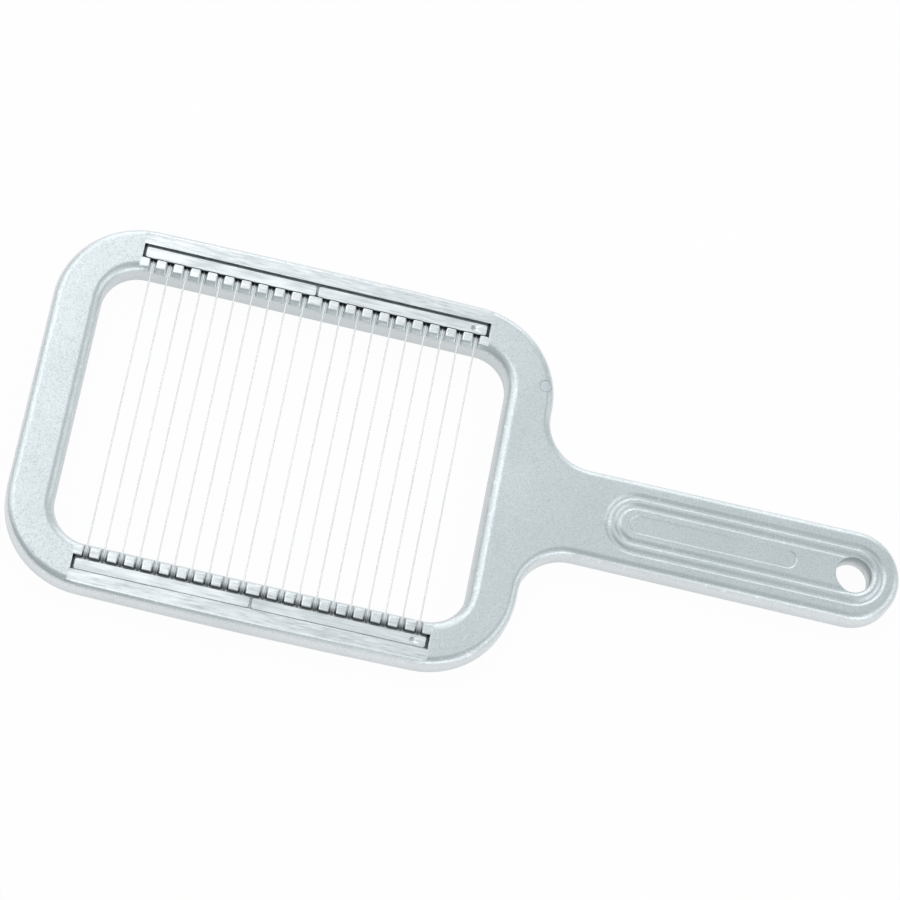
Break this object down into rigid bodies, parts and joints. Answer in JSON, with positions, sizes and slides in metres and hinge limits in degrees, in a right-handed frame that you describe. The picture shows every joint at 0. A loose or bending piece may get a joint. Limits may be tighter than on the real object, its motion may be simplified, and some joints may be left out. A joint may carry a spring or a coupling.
{
  "type": "egg slicer",
  "caption": "Hand-held wire slicer: a cast frame with a handle and hanging hole, strung with parallel cutting wires held in toothed rails under clamp strips.",
  "frame": {"origin": "under the middle of the tool's overall box, on the plane of its flat back", "axes": "+X along the tool from the wire frame to the handle's end, +Y across the frame along the wires, +Z out of the toothed face"},
  "size_m": [0.2564, 0.1126, 0.0081],
  "materials": {
    "cast_aluminium": "fine-grained as-cast skin, satin",
    "strip_metal": "rolled strip, satin",
    "wire_steel": "drawn stainless wire"
  },
  "bodies": {
    "root": {"frame_casting": "cast_aluminium", "clamp_strip_upper_left": "strip_metal", "clamp_strip_upper_right": "strip_metal", "clamp_strip_lower_left": "strip_metal", "clamp_strip_lower_right": "strip_metal", "wire_01": "wire_steel", "wire_02": "wire_steel", "wire_03": "wire_steel", "wire_04": "wire_steel", "wire_05": "wire_steel", "wire_06": "wire_steel", "wire_07": "wire_steel", "wire_08": "wire_steel", "wire_09": "wire_steel", "wire_10": "wire_steel", "wire_11": "wire_steel", "wire_12": "wire_steel", "wire_13": "wire_steel", "wire_14": "wire_steel", "wire_15": "wire_steel", "wire_16": "wire_steel", "wire_17": "wire_steel", "wire_18": "wire_steel", "wire_19": "wire_steel", "wire_20": "wire_steel"}
  },
  "joints": []
}
